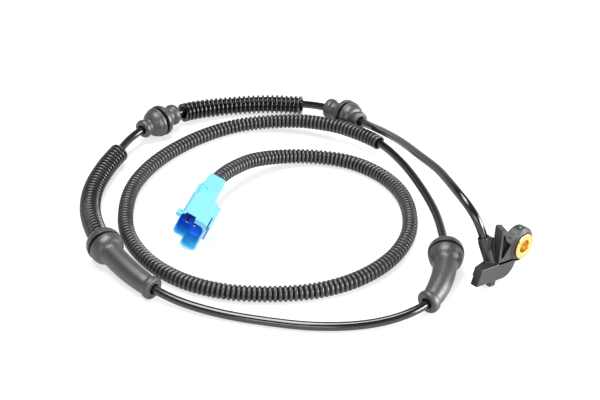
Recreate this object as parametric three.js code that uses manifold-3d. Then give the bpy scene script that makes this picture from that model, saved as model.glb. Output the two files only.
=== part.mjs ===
// Wheel speed sensor with its lead: a moulded head with a mounting bush, a two-core cable that runs
// through two grommets, two sleeved boots and three corrugated conduits, and a two-pin connector.
// Millimetres, +Z up. The origin is the middle of the head's underside, on the surface it rests on.
// The axis of the head's mounting bush runs along Y and its mounting face looks along -Y.
import * as THREE from 'three';
import { mergeVertices } from 'three/addons/utils/BufferGeometryUtils.js';
import Module from 'manifold-3d';

const wasm = await Module();
wasm.setup();

// Clearance between pieces that touch
const GAP = 0.3;

// Head: foot that faces the encoder ring, seen from the front with its lower left corner at 0, 0
const FOOT_LENGTH = 35.5;
const FOOT_HEIGHT = 10.9;
const FOOT_LEAN = 2.1;
const FOOT_DEPTH = 5.2;
const FOOT_DEPTH_MID = 9.2;
const LEDGE_HEIGHT = 5.5;
const LEDGE_DEPTH = 0.7;
const PIP_X = 15.8;
const PIP_WIDTH = 5.2;
const PIP_DEPTH = 3;
const PIP_REACH = 4.5;

// Head: wall between the foot and the eye, with a rib at its left end and a pocket in its front
const WALL_FRONT = 0.4;
const WALL_DEPTH = 6;
const RIB_FOOT_X = 18.4;
const RIB_TOP_X = 14.5;
const RIB_TOP_Z = 33.3;
const RIB_THICKNESS = 1.7;
const CAP_WIDTH = 5.9;
const CAP_RISE = 2.6;
const POCKET_DEPTH = 3.4;

// Head: eye round the mounting bush
const EYE_X = 38.3;
const EYE_Z = 19.5;
const EYE_DIAMETER = 22.6;
const EYE_CHAMFER = 1.9;
const EYE_FRONT = -0.9;
const EYE_DEPTH = 8.2;

// Mounting bush, a turned brass bush with a flange
const BUSH_BORE = 8.4;
const BUSH_BARREL = 12;
const BUSH_FLANGE = 16.2;
const BUSH_FLANGE_THICKNESS = 1.1;
const BUSH_PROUD_BACK = 0.4;
const BUSH_CHAMFER = 0.5;

// Head: socket that the cable leaves by, leaning back and to the left from the top of the foot
const SOCKET_FOOT = new THREE.Vector3(17.5, 7, 11.5);
const SOCKET_LEAN = new THREE.Vector3(-0.27, 0.335, 0.905).normalize();
const SOCKET_LENGTH = 15.5;
const SOCKET_DIAMETER = 8.2;
const SOCKET_NECK = 7.4;
const SOCKET_GRIP = 10.5;
const WEB_THICKNESS = 2.4;

// The head lies turned about the bush axis, so that it stands on its pip
const HEAD_ROLL = THREE.MathUtils.degToRad(12);

// Sensing element inside the foot
const CARRIER = { x: 7.3, z: 2.1, length: 14.4, height: 6.6, thickness: 2 };
const CHIP = { length: 4.1, height: 3.8, thickness: 0.9, inset: 1.3 };
const CONTACT = { length: 11, height: 1.6, thickness: 0.4 };
const FRONT_WALL = 1.4;

// Cable
const CABLE_DIAMETER = 5.4;
const CABLE_SIDES = 8;
const CABLE_STEPS = 84;
const HEAD_STEPS = 8;
const HEAD_REACH = 44;
const PLUG_STEPS = 2;
const PLUG_REACH = 16;
const CORE_DIAMETER = 1.7;
const CORE_SPACING = 2.1;

// Pieces on the cable, placed by their distance along it from its end in the head
const GROMMET_B_AT = 215;
const CONDUIT_2_AT = 270;
const CONDUIT_2_LENGTH = 86;
const GROMMET_A_AT = 366;
const CONDUIT_1_AT = 427;
const BOOT_1_AT = 549;
const BOOT_2_AT = 775.5;
const CONDUIT_3_AT = 973;

// Facets round a grommet or boot
const SLEEVE_SIDES = 14;

// Grommet: bead, neck, disc, groove for the bracket, domed disc, neck and bead
const GROMMET_BORE = 7.2;
const GROMMET_DISC = 21.6;
const GROMMET_GROOVE = 16.6;
const GROMMET_NECK = 12;
const GROMMET_BEAD = 14.6;
const GROMMET_END_BEAD = 13;
const GROMMET_LENGTH = 33;

// Boot: flange, groove, domed flange and a tapered sleeve that ends in a bead
const BOOT_BORE = 8.4;
const BOOT_FLANGE = 22.4;
const BOOT_GROOVE = 18;
const BOOT_SLEEVE = 14;
const BOOT_TAIL = 11.4;
const BOOT_BEAD = 13;
const BOOT_LENGTH = 58;
const BOOT_MOUTH = 15.4;

// Corrugated conduits
const WIDE_CONDUIT = { outer: 13, inner: 8.6, pitch: 3.5, depth: 1.2, sides: 8, allowance: 1.03 };
const NARROW_CONDUIT = { outer: 10, inner: 7.4, pitch: 3.06, depth: 0.8, sides: 6, allowance: 1.02 };

// A conduit's crest radius at its corners, with an allowance that keeps the flats near the round size
const crestRadius = (size) => (size.outer / 2) * size.allowance;

// Where the crest and the groove lie in a pitch
const CREST_PLACE = 0.28;
const GROOVE_PLACE = 0.78;
const CONDUIT_ENTRY = 4.2;

// Connector, with its mouth at Y = 0 and its body behind it
const SHROUD_WIDTH = 18.2;
const SHROUD_HEIGHT = 18;
const SHROUD_WALL = 1.1;
const SHROUD_ROUND = 3.2;
const SOCKET_DEPTH = 15;
const KEY_WIDTH = 10.6;
const KEY_HEIGHT = 6;
const NOTCH_WIDTH = 7.2;
const NOTCH_HEIGHT = 4.3;
const BODY_LENGTH = 36;
const BODY_SHOULDER = 25;
const BODY_REAR_RIGHT = 5.8;
const RAIL_GAP = 0.6;
const RAIL_WIDTH = 1.4;
const RAIL_HEIGHT = 11;
const BRIDGE_LENGTH = 13;
const TAB = { reach: 3, length: 4.5, height: 3 };
const PIN_PITCH = 5.4;
const PIN_DIAMETER = 1.5;
const PIN_COLLAR = 3;
const PIN_TIP = 5;
const PIN_LENGTH = 24;
const CELL_FRONT = 17.5;
const SEAL_BORE = 5;
const SEAL_LENGTH = 6;
const SHELL_LENGTH = 20;
const SHELL_WIDTH = 11.8;
const SHELL_HEIGHT = 12.4;
const SHELL_WALL = 1.2;
const SHELL_INSET = 1.2;
const JACKET_INSIDE = 7;
const SHELL_STEP = 3;
const SHELL_TAPER = 14;
const SHELL_ROUND = 2.4;
const SHELL_ENTRY = 9;
const LEAD_X = -0.4;
const LEAD_Z = 8.6;

// Where the connector lies, and how it is turned about its own axis by the lead
const CONNECTOR_PLACE = new THREE.Vector2(-117.4, 155.9);
const CONNECTOR_YAW = THREE.MathUtils.degToRad(-58.1);
const CONNECTOR_PITCH = THREE.MathUtils.degToRad(-0.3);
const CONNECTOR_ROLL = THREE.MathUtils.degToRad(25.4);

// The cable's route from the head to the connector, chosen by hand
const ROUTE = [
  [-8.8, 11.8, 42.3], [-7.9, 20, 47.9], [-5.2, 28.5, 49.8], [0, 39.1, 49.6], [11, 59.1, 46.8],
  [24.5, 86.6, 40.5], [40.5, 118.1, 32], [55, 147.6, 22], [65.5, 172.1, 13.6], [68, 196.1, 11.1],
  [65.5, 214.1, 10.9], [59.5, 233.1, 8.6], [45, 251.1, 8.3], [28, 265.1, 8.3], [9, 276.1, 8.8], [-7.5, 281.6, 10],
  [-22, 282.6, 10.9], [-37, 281.6, 11], [-51, 280.6, 10.8], [-64, 277.6, 10], [-78, 271.1, 9.6],
  [-98.5, 260.6, 9.4], [-121.5, 244.1, 9.6], [-138.5, 225.6, 10.2], [-151.5, 204.1, 11.1],
  [-160.5, 181.6, 11.5], [-164.5, 158.6, 9.5], [-164.5, 133.1, 6.8], [-159.5, 110.1, 4.7],
  [-148.5, 85.1, 3.4], [-133, 59.6, 3.1], [-119, 40.6, 3.1], [-102.5, 24.6, 3.2], [-86.5, 13.6, 4],
  [-71, 6.6, 5.8], [-56.5, 5.1, 7.2], [-37.5, 11.6, 9.8], [-17.5, 25.6, 11.8], [-1.5, 42.1, 11.2],
  [16.5, 64.1, 10.6], [34, 93.1, 10.6], [47.5, 122.6, 11], [55, 150.1, 11.4], [54.5, 168.6, 11.5],
  [51.5, 185.1, 11.5], [46.5, 200.1, 10.6], [40, 214.1, 9.2], [24.5, 234.1, 6.4], [3, 247.1, 5.4],
  [-29.5, 251.6, 5.3], [-65.5, 246.6, 5.3], [-96, 233.1, 5.3], [-118.5, 213.6, 5.3], [-137, 188.1, 5.3],
  [-146.5, 156.6, 5.3], [-145.5, 127.1, 5.3], [-135.5, 101.1, 5.3], [-116, 77.6, 5.3], [-92, 60.1, 5.3],
  [-66, 52.1, 5.3], [-37, 53.1, 5.3], [-11, 63.1, 5.3], [8.5, 79.1, 5.3], [24, 100.6, 5.3], [31.5, 125.6, 5.3],
  [29, 153.1, 5.4], [15, 176.1, 5.8], [-3.5, 188.6, 8], [-26.5, 192.6, 12.5],
  [-43, 191, 14.6], [-54.5, 188.3, 15.8],
];

const plastic = new THREE.MeshStandardMaterial({ color: 0x3a3b3d, roughness: 0.55, metalness: 0 });
const brass = new THREE.MeshStandardMaterial({ color: 0xe2b45c, roughness: 0.3, metalness: 1 });
const rubber = new THREE.MeshStandardMaterial({ color: 0x3d3d3c, roughness: 0.75, metalness: 0 });
const jacket = new THREE.MeshStandardMaterial({ color: 0x161616, roughness: 0.3, metalness: 0 });
const glossyConduit = new THREE.MeshStandardMaterial({ color: 0x18191a, roughness: 0.35, metalness: 0 });
const conduit = new THREE.MeshStandardMaterial({ color: 0x2b2c2e, roughness: 0.5, metalness: 0 });
const blue = new THREE.MeshStandardMaterial({ color: 0x4fc4f0, roughness: 0.4, metalness: 0 });
const tin = new THREE.MeshStandardMaterial({ color: 0xc9ccd0, roughness: 0.3, metalness: 1 });
const chipBlack = new THREE.MeshStandardMaterial({ color: 0x141414, roughness: 0.6, metalness: 0 });
const carrierGrey = new THREE.MeshStandardMaterial({ color: 0x6b6f72, roughness: 0.6, metalness: 0 });
const coreBlack = new THREE.MeshStandardMaterial({ color: 0x1a1a1a, roughness: 0.45, metalness: 0 });
const coreWhite = new THREE.MeshStandardMaterial({ color: 0xe6e4dc, roughness: 0.45, metalness: 0 });
const silicone = new THREE.MeshStandardMaterial({ color: 0xd8833a, roughness: 0.6, metalness: 0 });

// Solids and meshes

function solid(geometry) {
  const plain = geometry.index ? geometry.toNonIndexed() : geometry.clone();
  for (const name of ['normal', 'uv']) {
    plain.deleteAttribute(name);
  }
  const merged = mergeVertices(plain, 1e-5);
  const corners = merged.index.array;
  const faces = [];
  for (let i = 0; i < corners.length; i += 3) {
    const [a, b, c] = corners.slice(i, i + 3);
    if (a !== b && b !== c && c !== a) {
      faces.push(a, b, c);
    }
  }
  return new wasm.Manifold(new wasm.Mesh({
    numProp: 3,
    vertProperties: new Float32Array(merged.attributes.position.array),
    triVerts: new Uint32Array(faces),
  }));
}

function geometryOf(body) {
  const data = body.getMesh();
  const geometry = new THREE.BufferGeometry();
  geometry.setAttribute('position', new THREE.BufferAttribute(new Float32Array(data.vertProperties), 3));
  geometry.setIndex(new THREE.BufferAttribute(new Uint32Array(data.triVerts), 1));
  geometry.computeVertexNormals();
  return geometry;
}

function piece(name, form, material) {
  const body = form.isBufferGeometry ? solid(form) : form;
  const mesh = new THREE.Mesh(geometryOf(body), material);
  mesh.name = name;
  return mesh;
}

function block(x, y, z, length, depth, height) {
  const geometry = new THREE.BoxGeometry(length, depth, height);
  return solid(geometry.translate(x + length / 2, y + depth / 2, z + height / 2));
}

// An outline in X and Z, with each corner given as x, z and an optional radius
function outline(corners) {
  const shape = new THREE.Shape();
  const count = corners.length;
  corners.forEach(([x, z, radius = 0], i) => {
    const here = new THREE.Vector2(x, z);
    const before = new THREE.Vector2(...corners[(i + count - 1) % count]);
    const after = new THREE.Vector2(...corners[(i + 1) % count]);
    const start = here.clone().add(before.sub(here).setLength(radius));
    const end = here.clone().add(after.sub(here).setLength(radius));
    if (i === 0) {
      shape.moveTo(start.x, start.y);
    } else {
      shape.lineTo(start.x, start.y);
    }
    if (radius > 0) {
      shape.quadraticCurveTo(here.x, here.y, end.x, end.y);
    }
  });
  return shape;
}

// A plate with its outline in X and Z, from Y = front back through its depth
function plate(shape, front, depth, curveSegments = 5) {
  const geometry = new THREE.ExtrudeGeometry(shape, { depth, curveSegments, bevelEnabled: false });
  return solid(geometry.rotateX(Math.PI / 2).translate(0, front + depth, 0));
}

// A turned piece about the Y axis, from radius and Y pairs: up its outside and back down its bore
function turned(profile, segments) {
  const points = profile.map(([radius, y]) => new THREE.Vector2(radius, y));
  if (points[0].x > 0) {
    points.push(points[0].clone());
  }
  return new THREE.LatheGeometry(points, segments);
}

// A round bar or cone between two points
function bar(from, to, fromDiameter, toDiameter, segments) {
  const along = to.clone().sub(from);
  const geometry = new THREE.CylinderGeometry(toDiameter / 2, fromDiameter / 2, along.length(), segments);
  const turn = new THREE.Quaternion().setFromUnitVectors(new THREE.Vector3(0, 1, 0), along.clone().normalize());
  const middle = from.clone().addScaledVector(along, 0.5);
  return solid(geometry.applyQuaternion(turn).translate(middle.x, middle.y, middle.z));
}

// A round wire or cable along a curve
function wire(curve, diameter, steps, sides) {
  const section = new THREE.Shape();
  for (let i = 0; i < sides; i += 1) {
    const angle = (2 * Math.PI * i) / sides;
    const x = (diameter / 2) * Math.cos(angle);
    const y = (diameter / 2) * Math.sin(angle);
    if (i === 0) {
      section.moveTo(x, y);
    } else {
      section.lineTo(x, y);
    }
  }
  return new THREE.ExtrudeGeometry(section, { steps, extrudePath: curve, bevelEnabled: false });
}

// Head

const socketTop = SOCKET_FOOT.clone().addScaledVector(SOCKET_LEAN, SOCKET_LENGTH);
const jacketEnd = socketTop.clone().addScaledVector(SOCKET_LEAN, -SOCKET_GRIP + GAP);

function footBody() {
  const round = FOOT_HEIGHT;
  const face = new THREE.Shape();
  face.moveTo(0, 0);
  face.lineTo(FOOT_LENGTH - round, 0);
  face.absarc(FOOT_LENGTH - round, round, round, -Math.PI / 2, 0, false);
  face.lineTo(FOOT_LEAN, FOOT_HEIGHT);
  const front = plate(face, 0, FOOT_DEPTH_MID, 10);
  const plan = outline([
    [0, 0], [FOOT_LENGTH + 1, 0], [FOOT_LENGTH + 1, FOOT_DEPTH], [FOOT_LENGTH * 0.72, FOOT_DEPTH_MID, 3],
    [FOOT_LENGTH * 0.46, FOOT_DEPTH_MID, 3], [FOOT_LEAN, FOOT_DEPTH + LEDGE_DEPTH], [0, FOOT_DEPTH + LEDGE_DEPTH],
  ]);
  const column = new THREE.ExtrudeGeometry(plan, {
    depth: FOOT_HEIGHT + 1,
    curveSegments: 4,
    bevelEnabled: false,
  });
  const ledge = block(-1, FOOT_DEPTH, -1, FOOT_LEAN + 4.5, FOOT_DEPTH, LEDGE_HEIGHT + 1);
  return front.intersect(solid(column)).subtract(ledge);
}

function wallBody() {
  const capX = RIB_TOP_X + CAP_WIDTH;
  const shape = outline([
    [RIB_FOOT_X, FOOT_HEIGHT - 2], [EYE_X - 4, FOOT_HEIGHT - 2], [EYE_X, EYE_Z],
    [EYE_X - EYE_DIAMETER * 0.3, EYE_Z + EYE_DIAMETER * 0.36], [capX + 3.5, RIB_TOP_Z - 3.6, 1.5],
    [capX + 1.5, RIB_TOP_Z + CAP_RISE, 0.8], [RIB_TOP_X, RIB_TOP_Z + CAP_RISE, 1],
  ]);
  const wall = plate(shape, WALL_FRONT, WALL_DEPTH);
  const slope = Math.atan2(CAP_RISE, WALL_DEPTH);
  const above = new THREE.BoxGeometry(30, 12, 6).translate(0, 6, 3).rotateX(slope).rotateY(0.2);
  above.translate(RIB_TOP_X + 3, WALL_FRONT - 0.2, RIB_TOP_Z - 0.4);
  return wall.subtract(solid(above));
}

function pocket() {
  const ribX = (z) => RIB_FOOT_X + RIB_THICKNESS
    + ((RIB_TOP_X - RIB_FOOT_X) * (z - FOOT_HEIGHT)) / (RIB_TOP_Z - FOOT_HEIGHT);
  const top = RIB_TOP_Z - 2.7;
  const bottom = FOOT_HEIGHT + 2.6;
  const shape = outline([
    [ribX(top), top, 0.6], [ribX(top) + 1.9, top - 0.3, 0.6], [EYE_X - 16.4, EYE_Z + 5.6, 2],
    [EYE_X - 11.1, EYE_Z + 2.9, 0.8], [EYE_X - 15.8, EYE_Z - 4.4, 0.8], [ribX(bottom) + 0.4, bottom, 0.4],
  ]);
  return plate(shape, WALL_FRONT - 1, POCKET_DEPTH + 1);
}

function eyeBody() {
  const radius = EYE_DIAMETER / 2;
  const back = EYE_FRONT + EYE_DEPTH;
  const profile = [
    [0, EYE_FRONT], [radius - EYE_CHAMFER, EYE_FRONT], [radius, EYE_FRONT + EYE_CHAMFER],
    [radius, back - 0.6], [radius - 0.6, back], [0, back],
  ];
  return solid(turned(profile, 32)).translate(EYE_X, 0, EYE_Z);
}

function socketBody() {
  const foot = SOCKET_FOOT.clone().addScaledVector(SOCKET_LEAN, -2);
  const neck = SOCKET_FOOT.clone().addScaledVector(SOCKET_LEAN, SOCKET_LENGTH * 0.7);
  const web = outline([
    [SOCKET_FOOT.x - 2, SOCKET_FOOT.z - 2], [RIB_FOOT_X + 1, SOCKET_FOOT.z - 2],
    [RIB_FOOT_X - 2.2, socketTop.z + 1.4, 1], [socketTop.x, socketTop.z + 2.6, 1], [socketTop.x - 1, socketTop.z - 4],
  ]);
  return bar(foot, neck, SOCKET_NECK, SOCKET_DIAMETER, 20)
    .add(bar(neck, socketTop, SOCKET_DIAMETER, SOCKET_NECK, 20))
    .add(plate(web, WALL_FRONT + WALL_DEPTH - 0.5, WEB_THICKNESS));
}

function headHollow() {
  const grip = socketTop.clone().addScaledVector(SOCKET_LEAN, -SOCKET_GRIP);
  const above = socketTop.clone().addScaledVector(SOCKET_LEAN, 8);
  const bore = CABLE_DIAMETER + 2 * GAP;
  const { x, z, length, height, thickness } = CARRIER;
  const depth = thickness + CONTACT.thickness + 3 * GAP;
  const cores = new THREE.Vector3(x + length - 3.1, FRONT_WALL + depth + CORE_DIAMETER / 2 + 0.1, z + height - 0.8);
  return bar(grip, above, bore, bore, 20)
    .add(bar(cores, grip.clone().addScaledVector(SOCKET_LEAN, 0.5), 5.4, 5.4, 16))
    .add(block(x - GAP, FRONT_WALL, z - GAP, length + 2 * GAP, depth, height + 2 * GAP))
    .add(block(x + length / 2, FRONT_WALL + depth - 0.1, z - GAP, length / 2 + GAP, 3.2, height + 2 * GAP));
}

function makeHead() {
  const head = new THREE.Group();
  const eyeBore = BUSH_BARREL / 2 + GAP;
  const hole = solid(turned([[0, -2], [eyeBore, -2], [eyeBore, 12], [0, 12]], 24)).translate(EYE_X, 0, EYE_Z);
  const pip = block(PIP_X, 1.5, -PIP_REACH, PIP_WIDTH, PIP_DEPTH, PIP_REACH + 1);
  const body = footBody().add(wallBody()).add(eyeBody()).add(socketBody()).add(pip)
    .subtract(pocket()).subtract(hole).subtract(headHollow());
  head.add(piece('head_body', body, plastic));

  const bore = BUSH_BORE / 2;
  const barrel = BUSH_BARREL / 2;
  const flange = BUSH_FLANGE / 2;
  const seat = EYE_FRONT - GAP;
  const face = seat - BUSH_FLANGE_THICKNESS;
  const back = EYE_FRONT + EYE_DEPTH + BUSH_PROUD_BACK;
  const bush = turned([
    [bore, face + BUSH_CHAMFER], [bore + BUSH_CHAMFER, face], [flange - BUSH_CHAMFER / 2, face],
    [flange, face + BUSH_CHAMFER / 2], [flange, seat], [barrel, seat], [barrel, back],
    [bore + BUSH_CHAMFER, back], [bore, back - BUSH_CHAMFER],
  ], 24).translate(EYE_X, 0, EYE_Z);
  head.add(piece('bush', bush, brass));

  const { x, z, length, height, thickness } = CARRIER;
  const front = FRONT_WALL + GAP;
  const chipX = x + CHIP.inset;
  const chipZ = z + (height - CHIP.height) / 2;
  const recess = block(
    chipX - GAP, front - 1, chipZ - GAP,
    CHIP.length + 2 * GAP, 1 + CHIP.thickness + GAP, CHIP.height + 2 * GAP,
  );
  const carrier = block(x, front, z, length, thickness, height).subtract(recess);
  head.add(piece('chip_carrier', carrier, carrierGrey));
  head.add(piece('hall_chip', block(chipX, front, chipZ, CHIP.length, CHIP.thickness, CHIP.height), chipBlack));

  const contactX = x + length - CONTACT.length - 0.6;
  const contactY = front + thickness + GAP;
  const coreY = contactY + CONTACT.thickness + GAP + CORE_DIAMETER / 2;
  [['a', 1, coreBlack], ['b', -1, coreWhite]].forEach(([letter, side, colour]) => {
    const contactZ = z + height / 2 + side * (CONTACT.height / 2 + 0.6) - CONTACT.height / 2;
    const strip = block(contactX, contactY, contactZ, CONTACT.length, CONTACT.thickness, CONTACT.height);
    head.add(piece(`contact_${letter}`, strip, tin));
    const across = new THREE.Vector3(-side * CORE_SPACING * 0.5, 0, 0);
    const top = jacketEnd.clone().addScaledVector(SOCKET_LEAN, -GAP).add(across);
    const route = new THREE.CatmullRomCurve3([
      top,
      top.clone().addScaledVector(SOCKET_LEAN, -3),
      new THREE.Vector3(x + length - 2.6 - side * CORE_SPACING * 0.5, coreY + 0.9, z + height - 0.4),
      new THREE.Vector3(x + length - 2.4 - side * CORE_SPACING * 0.5, coreY, contactZ + 0.2),
    ]);
    head.add(piece(`head_core_${letter}`, wire(route, CORE_DIAMETER, 7, 6), colour));
  });
  return head;
}

const head = makeHead();
head.rotation.y = HEAD_ROLL;
head.updateMatrixWorld(true);
const headBox = new THREE.Box3().setFromObject(head, true);
const headMiddle = headBox.getCenter(new THREE.Vector3());
head.position.set(-headMiddle.x, -headMiddle.y, -headBox.min.z);
head.updateMatrixWorld(true);

// Connector

const pinX = (BODY_REAR_RIGHT - SHROUD_WIDTH / 2) / 2 + 0.75;
const shellFront = BODY_LENGTH + GAP;
const shellRear = shellFront + SHELL_LENGTH;
const plugJacketEnd = shellFront + JACKET_INSIDE;

function connectorBody() {
  const left = -SHROUD_WIDTH / 2;
  const right = SHROUD_WIDTH / 2;
  const r = SHROUD_ROUND;
  const keyLeft = right - KEY_WIDTH;
  const shroud = plate(outline([
    [left, 0, r], [keyLeft, 0, 0.8], [keyLeft, -KEY_HEIGHT, r], [right, -KEY_HEIGHT, r],
    [right, SHROUD_HEIGHT, r], [left, SHROUD_HEIGHT, r],
  ]), 0, BODY_SHOULDER);
  const rearBody = plate(outline([
    [left + 0.9, 0, r], [BODY_REAR_RIGHT, 0, r], [BODY_REAR_RIGHT, SHROUD_HEIGHT, r],
    [left + 0.9, SHROUD_HEIGHT, r],
  ]), BODY_SHOULDER - 1, BODY_LENGTH - BODY_SHOULDER + 1);
  const wall = SHROUD_WALL;
  const inside = plate(outline([
    [left + wall, wall, r * 0.6], [keyLeft + wall, wall, 0.6], [keyLeft + wall, wall - KEY_HEIGHT, r * 0.6],
    [right - wall, wall - KEY_HEIGHT, r * 0.6], [right - wall, SHROUD_HEIGHT - wall - NOTCH_HEIGHT, r * 0.6],
    [right - wall - NOTCH_WIDTH, SHROUD_HEIGHT - wall - NOTCH_HEIGHT, 0.4],
    [right - wall - NOTCH_WIDTH, SHROUD_HEIGHT - wall, 0.8], [left + wall, SHROUD_HEIGHT - wall, r * 0.6],
  ]), -1, SOCKET_DEPTH + 1);
  const tab = block(left - TAB.reach, 0, SHROUD_HEIGHT - 5, TAB.reach + 1, TAB.length, TAB.height);
  const railZ = SHROUD_HEIGHT - RAIL_HEIGHT - 2;
  const rail = block(right + RAIL_GAP, 1.5, railZ, RAIL_WIDTH, BODY_SHOULDER - 1.5, RAIL_HEIGHT);
  const bridge = block(right - 1, BODY_SHOULDER - BRIDGE_LENGTH, railZ, RAIL_GAP + RAIL_WIDTH, BRIDGE_LENGTH, RAIL_HEIGHT);
  let body = shroud.add(rearBody).add(tab).add(rail).add(bridge).subtract(inside);
  for (const side of [-1, 1]) {
    const x = pinX + (side * PIN_PITCH) / 2;
    const hole = PIN_COLLAR / 2 + GAP;
    const inner = CELL_FRONT + 0.5;
    const neck = turned([[0, SOCKET_DEPTH - 1], [hole, SOCKET_DEPTH - 1], [hole, inner], [0, inner]], 12);
    const rear = BODY_LENGTH + 4;
    const cell = turned([[0, CELL_FRONT], [SEAL_BORE / 2, CELL_FRONT], [SEAL_BORE / 2, rear], [0, rear]], 16);
    body = body.subtract(solid(neck).translate(x, 0, LEAD_Z)).subtract(solid(cell).translate(x, 0, LEAD_Z));
  }
  return body;
}

function backshell() {
  const front = shellFront;
  const rear = shellRear;
  const left = -SHROUD_WIDTH / 2 + SHELL_INSET;
  const half = SHELL_WIDTH / 2;
  const plan = new THREE.Shape([
    [left, front], [BODY_REAR_RIGHT - GAP, front], [LEAD_X + half, front + SHELL_STEP], [LEAD_X + half, rear - 1],
    [LEAD_X + half - 1, rear], [LEAD_X - half + 1, rear], [LEAD_X - half, rear - 1],
    [LEAD_X - half, front + SHELL_TAPER], [left, front + SHELL_STEP],
  ].map(([x, y]) => new THREE.Vector2(x, y)));
  const low = LEAD_Z - SHELL_HEIGHT / 2;
  const column = new THREE.ExtrudeGeometry(plan, { depth: SHELL_HEIGHT, bevelEnabled: false });
  const rounded = plate(outline([
    [left - 1, low, SHELL_ROUND], [LEAD_X + half + 1, low, SHELL_ROUND],
    [LEAD_X + half + 1, low + SHELL_HEIGHT, SHELL_ROUND], [left - 1, low + SHELL_HEIGHT, SHELL_ROUND],
  ]), front - 1, SHELL_LENGTH + 2);
  const bore = crestRadius(NARROW_CONDUIT) + GAP;
  const inner = rear - SHELL_ENTRY;
  const entry = turned([[0, inner], [bore, inner], [bore, rear + 1], [0, rear + 1]], 20);
  const roomZ = low + SHELL_WALL + 1;
  const roomHeight = SHELL_HEIGHT - 2 * SHELL_WALL - 2;
  const frontLeft = left + SHELL_WALL;
  const rearLeft = LEAD_X - half + SHELL_WALL;
  const roomRight = BODY_REAR_RIGHT - SHELL_WALL - GAP;
  const frontRoom = block(frontLeft, front - 1, roomZ, roomRight - frontLeft, SHELL_STEP, roomHeight);
  const rearRoom = block(
    rearLeft, front + SHELL_STEP - 2, roomZ,
    roomRight - rearLeft, SHELL_LENGTH - SHELL_ENTRY - SHELL_STEP + 3, roomHeight,
  );
  return solid(column.translate(0, 0, low)).intersect(rounded)
    .subtract(solid(entry).translate(LEAD_X, 0, LEAD_Z)).subtract(frontRoom).subtract(rearRoom);
}

function makeConnector() {
  const connector = new THREE.Group();
  connector.add(piece('connector_body', connectorBody(), blue));
  connector.add(piece('connector_backshell', backshell(), blue));
  [['a', -1, coreBlack], ['b', 1, coreWhite]].forEach(([letter, side, colour]) => {
    const x = pinX + (side * PIN_PITCH) / 2;
    const tip = PIN_DIAMETER / 2;
    const collar = PIN_COLLAR / 2;
    const pinEnd = PIN_TIP + PIN_LENGTH;
    const pin = turned([
      [0, PIN_TIP], [tip * 0.6, PIN_TIP], [tip, PIN_TIP + 1], [tip, SOCKET_DEPTH + 0.5],
      [collar, SOCKET_DEPTH + 0.5], [collar, pinEnd - 9.5], [collar * 0.75, pinEnd - 9],
      [collar * 0.75, pinEnd - 3.5], [collar * 0.93, pinEnd - 3], [collar * 0.93, pinEnd], [0, pinEnd],
    ], 8);
    connector.add(piece(`pin_${letter}`, pin.translate(x, 0, LEAD_Z), tin));
    const inner = CORE_DIAMETER / 2 + GAP;
    const crest = SEAL_BORE / 2 - GAP;
    const root = crest - 0.5;
    const sealFront = pinEnd + 2 * GAP;
    const sealRear = sealFront + SEAL_LENGTH;
    const seal = turned([
      [inner, sealFront], [root, sealFront], [crest, sealFront + SEAL_LENGTH / 6],
      [root, sealFront + SEAL_LENGTH / 3], [crest, sealFront + SEAL_LENGTH / 2],
      [root, sealFront + (SEAL_LENGTH * 2) / 3], [crest, sealFront + (SEAL_LENGTH * 5) / 6], [root, sealRear],
      [inner, sealRear],
    ], 10);
    connector.add(piece(`wire_seal_${letter}`, seal.translate(x, 0, LEAD_Z), silicone));
    const coreX = LEAD_X + (side * CORE_SPACING) / 2;
    const core = new THREE.CatmullRomCurve3([
      new THREE.Vector3(x, pinEnd + GAP, LEAD_Z), new THREE.Vector3(x, shellFront, LEAD_Z),
      new THREE.Vector3((x + coreX) / 2, shellFront + JACKET_INSIDE / 2, LEAD_Z),
      new THREE.Vector3(coreX, plugJacketEnd - GAP, LEAD_Z),
    ]);
    connector.add(piece(`plug_core_${letter}`, wire(core, CORE_DIAMETER, 10, 6), colour));
  });
  return connector;
}

const connector = makeConnector();
connector.rotation.set(CONNECTOR_PITCH, CONNECTOR_ROLL, CONNECTOR_YAW, 'ZXY');
connector.updateMatrixWorld(true);
const connectorBox = new THREE.Box3().setFromObject(connector, true);
connector.position.set(CONNECTOR_PLACE.x, CONNECTOR_PLACE.y, -connectorBox.min.z);
connector.updateMatrixWorld(true);

// Cable and the pieces on it

const inHead = (point) => head.localToWorld(point.clone());
const onLead = (y) => connector.localToWorld(new THREE.Vector3(LEAD_X, y, LEAD_Z));
const route = new THREE.CatmullRomCurve3([
  inHead(jacketEnd), inHead(socketTop), inHead(socketTop.clone().addScaledVector(SOCKET_LEAN, 3)),
  ...ROUTE.map((point) => new THREE.Vector3(...point)),
  onLead(shellRear + 3), onLead(shellRear), onLead(plugJacketEnd),
], false, 'centripetal');
route.arcLengthDivisions = 3000;
const CABLE_LENGTH = route.getLength();

const FRAMES = 1500;
const frames = route.computeFrenetFrames(FRAMES);

// The point and the two cross directions at a distance along the cable
function frameAt(distance) {
  const along = THREE.MathUtils.clamp(distance / CABLE_LENGTH, 0, 1);
  const i = Math.min(Math.floor(along * FRAMES), FRAMES - 1);
  const share = along * FRAMES - i;
  return {
    point: route.getPointAt(along),
    normal: frames.normals[i].clone().lerp(frames.normals[i + 1], share).normalize(),
    binormal: frames.binormals[i].clone().lerp(frames.binormals[i + 1], share).normalize(),
  };
}

// Where each ring of the cable lies along it: closer together by the head and in the connector
function ringDistance(ring) {
  if (ring <= HEAD_STEPS) {
    return (ring / HEAD_STEPS) * HEAD_REACH;
  }
  if (ring >= CABLE_STEPS - PLUG_STEPS) {
    return CABLE_LENGTH - ((CABLE_STEPS - ring) / PLUG_STEPS) * PLUG_REACH;
  }
  const share = (ring - HEAD_STEPS) / (CABLE_STEPS - PLUG_STEPS - HEAD_STEPS);
  return HEAD_REACH + share * (CABLE_LENGTH - HEAD_REACH - PLUG_REACH);
}

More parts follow.
